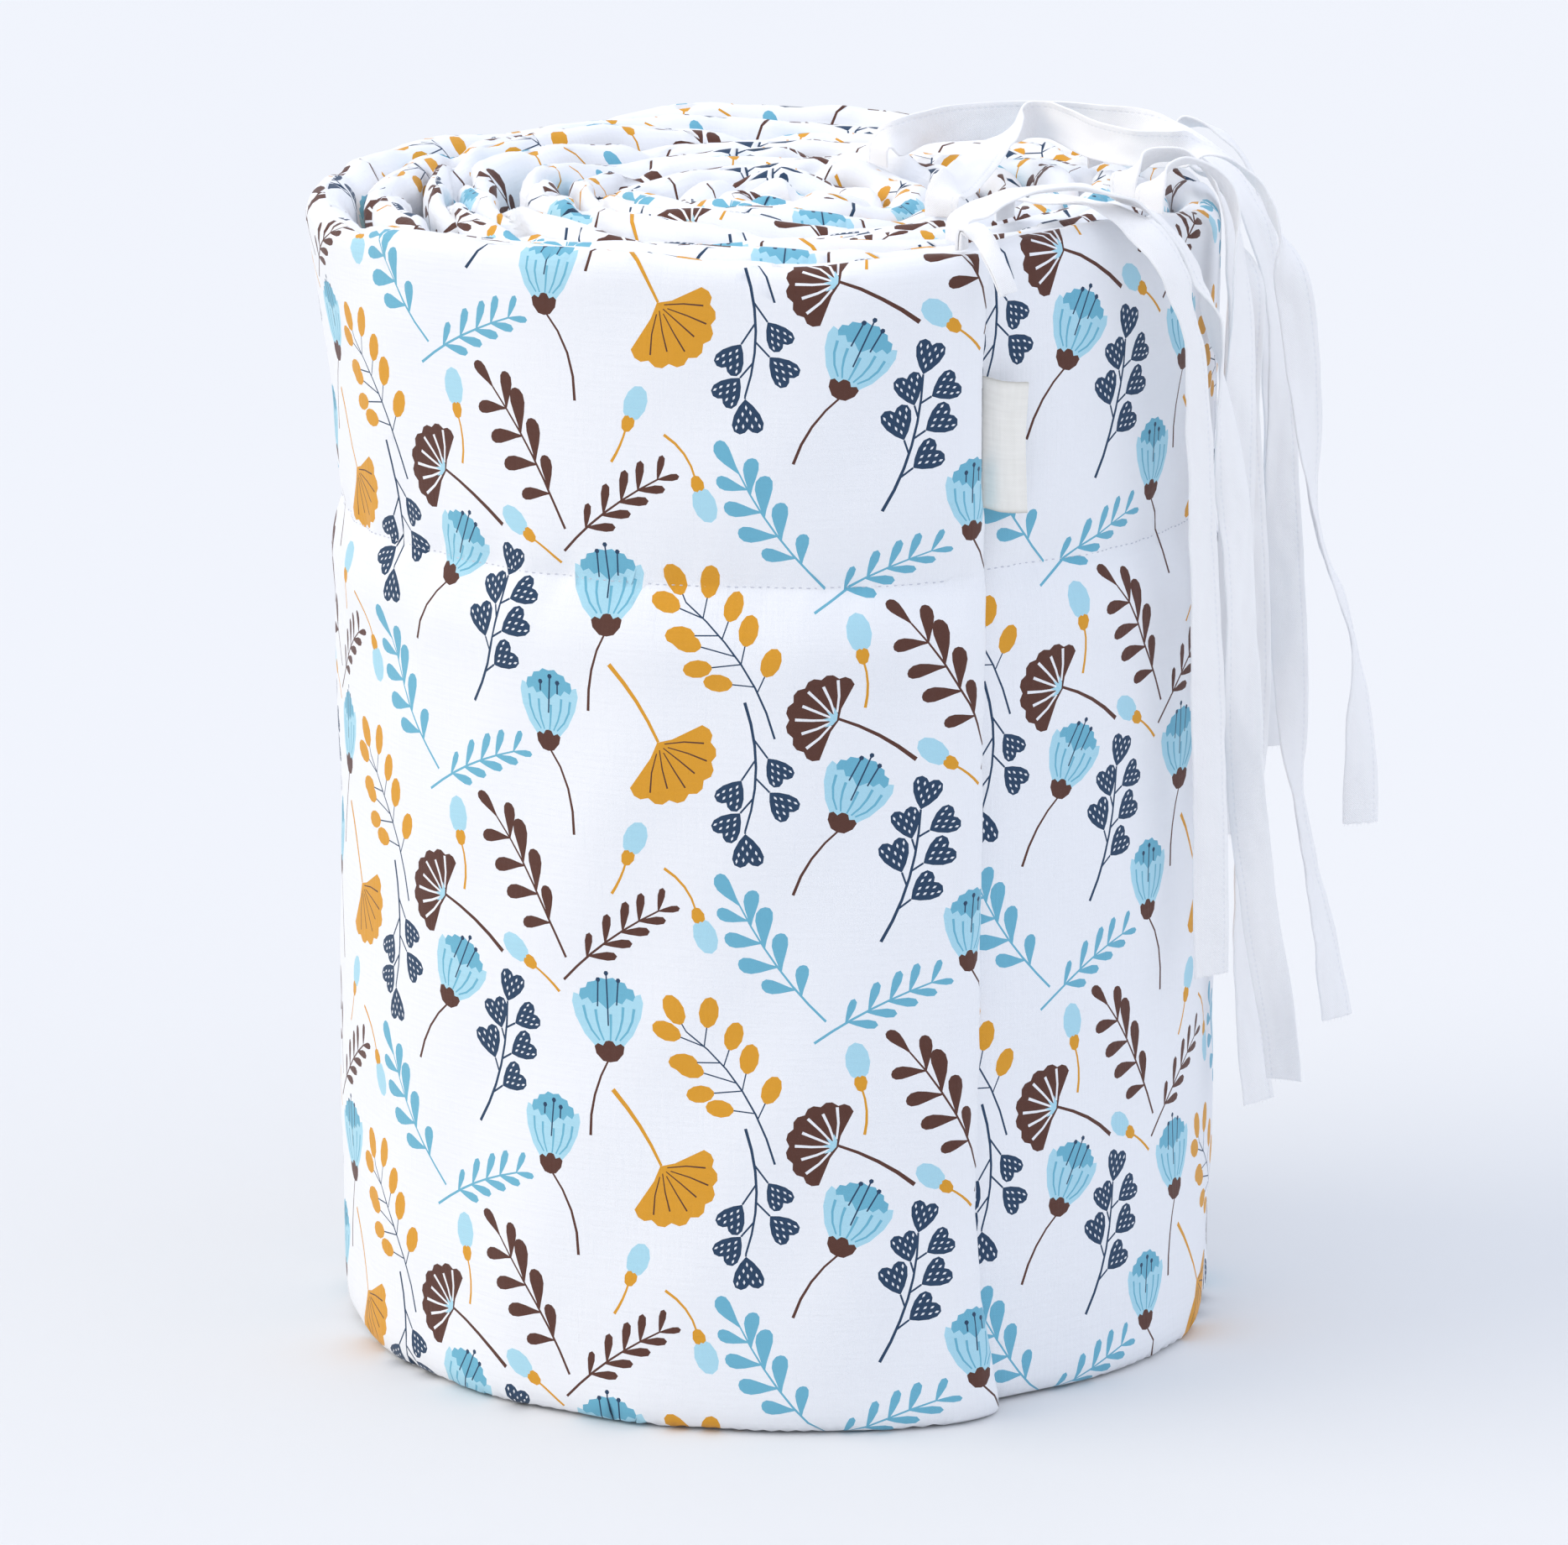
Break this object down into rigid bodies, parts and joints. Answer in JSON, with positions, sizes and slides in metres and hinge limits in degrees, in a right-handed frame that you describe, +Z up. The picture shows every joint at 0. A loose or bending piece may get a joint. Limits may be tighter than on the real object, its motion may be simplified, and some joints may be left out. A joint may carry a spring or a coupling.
{
  "type": "crib bumper",
  "caption": "Long padded strip of printed cotton, rolled up and stood on edge, with cotton tie tapes draped over its top and a bare woven label.",
  "frame": {"origin": "under the middle of the whole, on the surface that the roll stands on", "axes": "+Z up along the roll's axis, -Y to the front where the free end and label show, +X to the side where the tapes hang"},
  "size_m": [0.3373, 0.2892, 0.3866],
  "materials": {
    "printed_cotton": "fine plain-weave cotton, white ground with small flower and leaf print",
    "white_tape": "matt white cotton tape with stitched edges",
    "woven_label": "satin woven cream label, bare"
  },
  "bodies": {
    "root": {"bumper_roll": "printed_cotton", "tie_1": "white_tape", "tie_2": "white_tape", "tie_3": "white_tape", "tie_4": "white_tape", "tie_5": "white_tape", "tie_6": "white_tape", "tie_7": "white_tape", "tie_8": "white_tape", "corner_tab": "white_tape", "label": "woven_label"}
  },
  "joints": []
}
